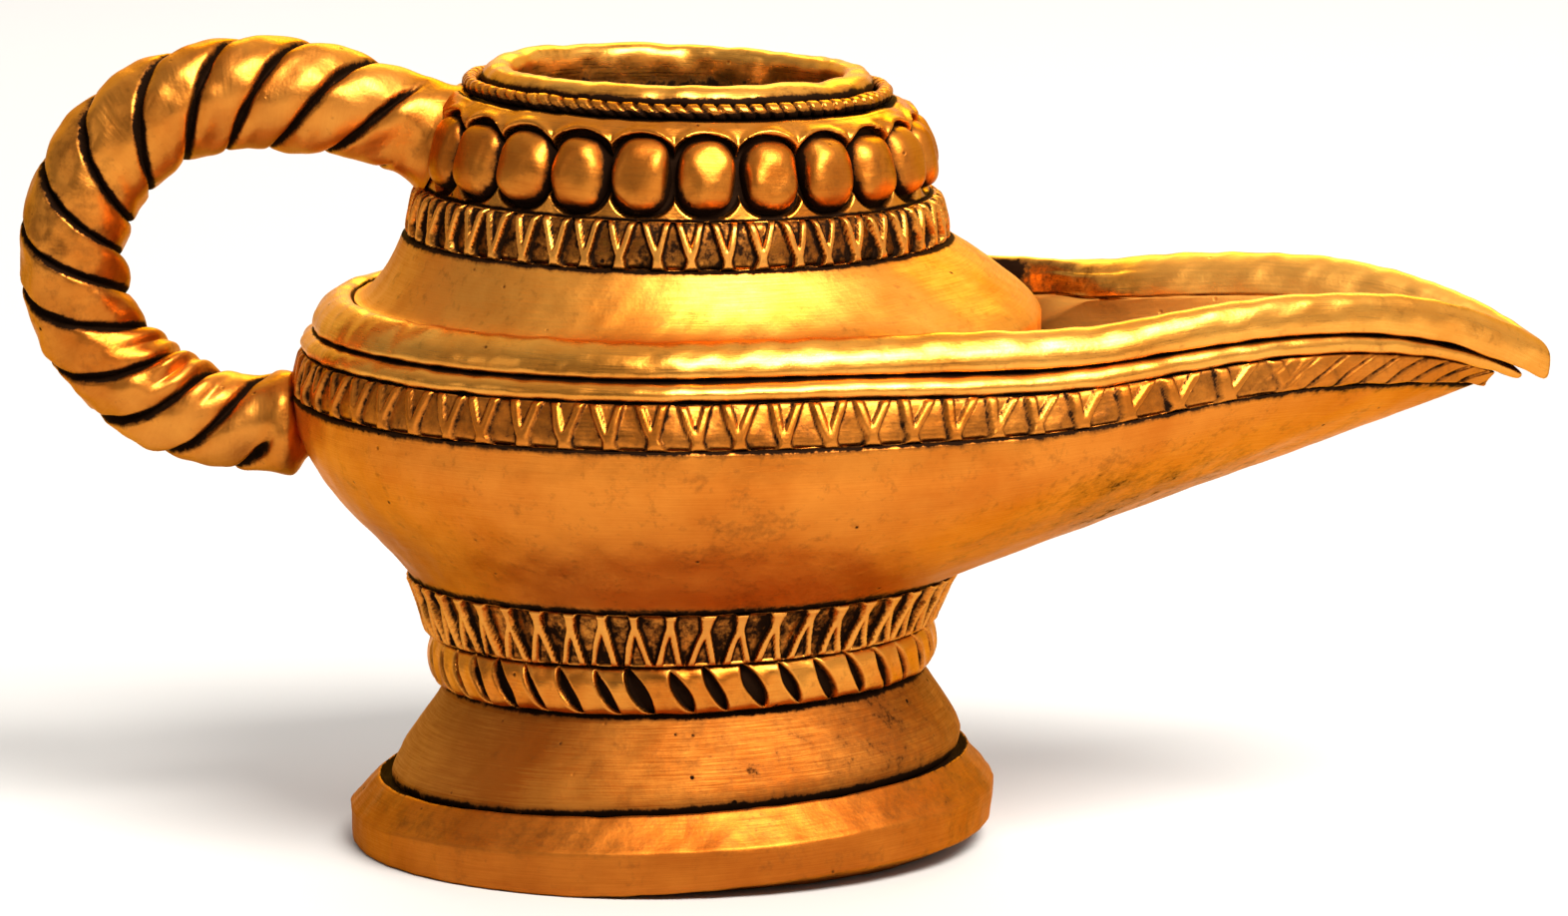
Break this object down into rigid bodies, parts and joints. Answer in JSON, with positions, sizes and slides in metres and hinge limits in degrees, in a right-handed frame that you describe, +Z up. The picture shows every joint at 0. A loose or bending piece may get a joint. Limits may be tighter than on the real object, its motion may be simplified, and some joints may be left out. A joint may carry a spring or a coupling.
{
  "type": "footed oil lamp",
  "caption": "Footed brass oil lamp with a boat-shaped bowl, long open wick spout, beaded collar with a round mouth, and rope-twist loop handle.",
  "frame": {"origin": "centre of the foot's resting face", "axes": "+Z up, +X out along the spout, the handle at -X"},
  "size_m": [0.1394, 0.0706, 0.0736],
  "materials": {
    "cast_brass": "cast brass, hand brushed, dark patina in the hollows",
    "stamped_brass": "stamped triangles, blackened grounds, rubbed bright on the faces",
    "moulding_brass": "nicked or plain moulding, blackened in the nicks and grooves",
    "polished_brass": "rubbed bright, fine scratches",
    "twisted_brass": "twisted strands rubbed bright on their crowns, black between them"
  },
  "bodies": {
    "root": {"foot_plate": "cast_brass", "foot_dome": "cast_brass", "stem_rope": "moulding_brass", "stem_band": "stamped_brass", "bowl": "cast_brass", "rim_strip": "stamped_brass", "rim_wire": "moulding_brass", "rim_lip": "polished_brass", "shoulder": "cast_brass", "collar": "cast_brass", "collar_band": "stamped_brass", "neck_rope": "moulding_brass", "mouth_ring": "polished_brass", "handle": "twisted_brass", "pearl_01": "polished_brass", "pearl_02": "polished_brass", "pearl_03": "polished_brass", "pearl_04": "polished_brass", "pearl_05": "polished_brass", "pearl_06": "polished_brass", "pearl_07": "polished_brass", "pearl_08": "polished_brass", "pearl_09": "polished_brass", "pearl_10": "polished_brass", "pearl_11": "polished_brass", "pearl_12": "polished_brass", "pearl_13": "polished_brass", "pearl_14": "polished_brass", "pearl_15": "polished_brass", "pearl_16": "polished_brass", "pearl_17": "polished_brass", "pearl_18": "polished_brass", "pearl_19": "polished_brass", "pearl_20": "polished_brass", "pearl_21": "polished_brass", "pearl_22": "polished_brass"}
  },
  "joints": []
}
